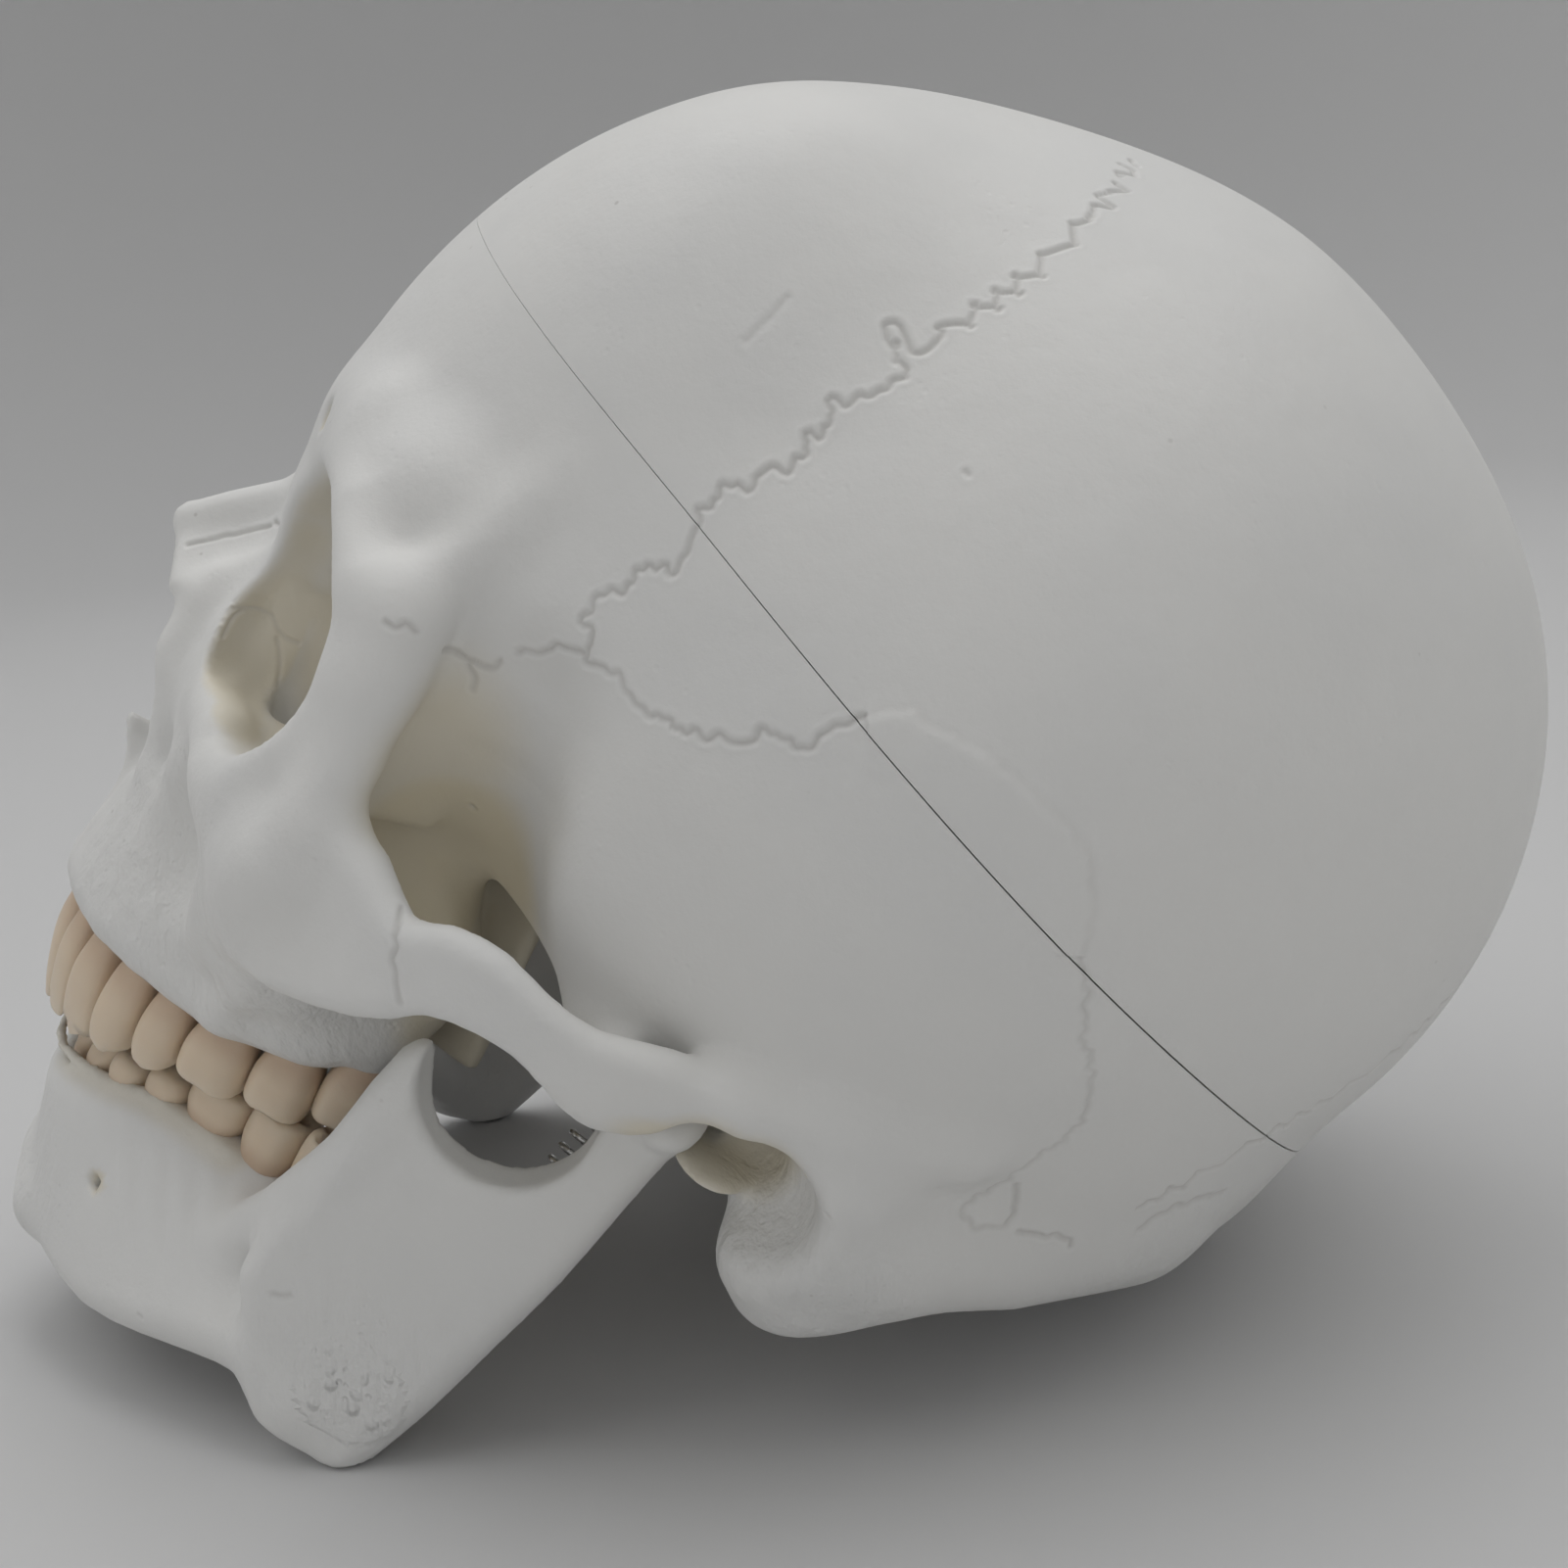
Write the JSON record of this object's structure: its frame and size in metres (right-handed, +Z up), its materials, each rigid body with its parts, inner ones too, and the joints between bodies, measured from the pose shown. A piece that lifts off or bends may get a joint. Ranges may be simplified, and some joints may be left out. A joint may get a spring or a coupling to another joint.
{
  "type": "anatomical skull model",
  "caption": "Life-size teaching model of a human skull: face and skull base, lift-off skull cap, sprung lower jaw that opens on its hinge, and separate teeth.",
  "frame": {"origin": "centre of the bounding box's base, on the surface the model rests on", "axes": "+Z up with the model resting on its jaw corners and the back of its head, +Y from the face to the back of the head, +X to the skull's left"},
  "size_m": [0.1448, 0.2194, 0.1609],
  "materials": {
    "bone_plastic": "satin off-white cast plastic",
    "tooth_plastic": "satin beige cast plastic",
    "spring_steel": "plain bright wire"
  },
  "bodies": {
    "cranium": {"cap_pin_front": "spring_steel", "cap_pin_left": "spring_steel", "cap_pin_right": "spring_steel", "facial_skeleton": "bone_plastic", "jaw_spring_left": "spring_steel", "jaw_spring_right": "spring_steel", "skull_base": "bone_plastic", "skull_spring_eye_left": "spring_steel", "skull_spring_eye_right": "spring_steel", "upper_left_canine": "tooth_plastic", "upper_left_central_incisor": "tooth_plastic", "upper_left_first_molar": "tooth_plastic", "upper_left_first_premolar": "tooth_plastic", "upper_left_lateral_incisor": "tooth_plastic", "upper_left_second_molar": "tooth_plastic", "upper_left_second_premolar": "tooth_plastic", "upper_left_third_molar": "tooth_plastic", "upper_right_canine": "tooth_plastic", "upper_right_central_incisor": "tooth_plastic", "upper_right_first_molar": "tooth_plastic", "upper_right_first_premolar": "tooth_plastic", "upper_right_lateral_incisor": "tooth_plastic", "upper_right_second_molar": "tooth_plastic", "upper_right_second_premolar": "tooth_plastic", "upper_right_third_molar": "tooth_plastic"},
    "calvarium": {"calvarium": "bone_plastic"},
    "mandible": {"jaw_spring_eye_left": "spring_steel", "jaw_spring_eye_right": "spring_steel", "lower_left_canine": "tooth_plastic", "lower_left_central_incisor": "tooth_plastic", "lower_left_first_molar": "tooth_plastic", "lower_left_first_premolar": "tooth_plastic", "lower_left_lateral_incisor": "tooth_plastic", "lower_left_second_molar": "tooth_plastic", "lower_left_second_premolar": "tooth_plastic", "lower_left_third_molar": "tooth_plastic", "lower_right_canine": "tooth_plastic", "lower_right_central_incisor": "tooth_plastic", "lower_right_first_molar": "tooth_plastic", "lower_right_first_premolar": "tooth_plastic", "lower_right_lateral_incisor": "tooth_plastic", "lower_right_second_molar": "tooth_plastic", "lower_right_second_premolar": "tooth_plastic", "lower_right_third_molar": "tooth_plastic", "mandible": "bone_plastic"}
  },
  "joints": [
    {"name": "cap_lift", "type": "slide", "parent": "cranium", "child": "calvarium", "axis": [0, 0.7978, 0.6029], "range_m": [0, 0.06]},
    {"name": "jaw_hinge", "type": "hinge", "parent": "cranium", "child": "mandible", "pos_m": [0, -0.00564, 0.04439], "axis": [1, 0, 0], "range_deg": [0, 25], "stiffness_Nm_per_rad": 0.1, "springref_deg": -20.05, "deforming": ["jaw_spring_left", "jaw_spring_right"]}
  ]
}
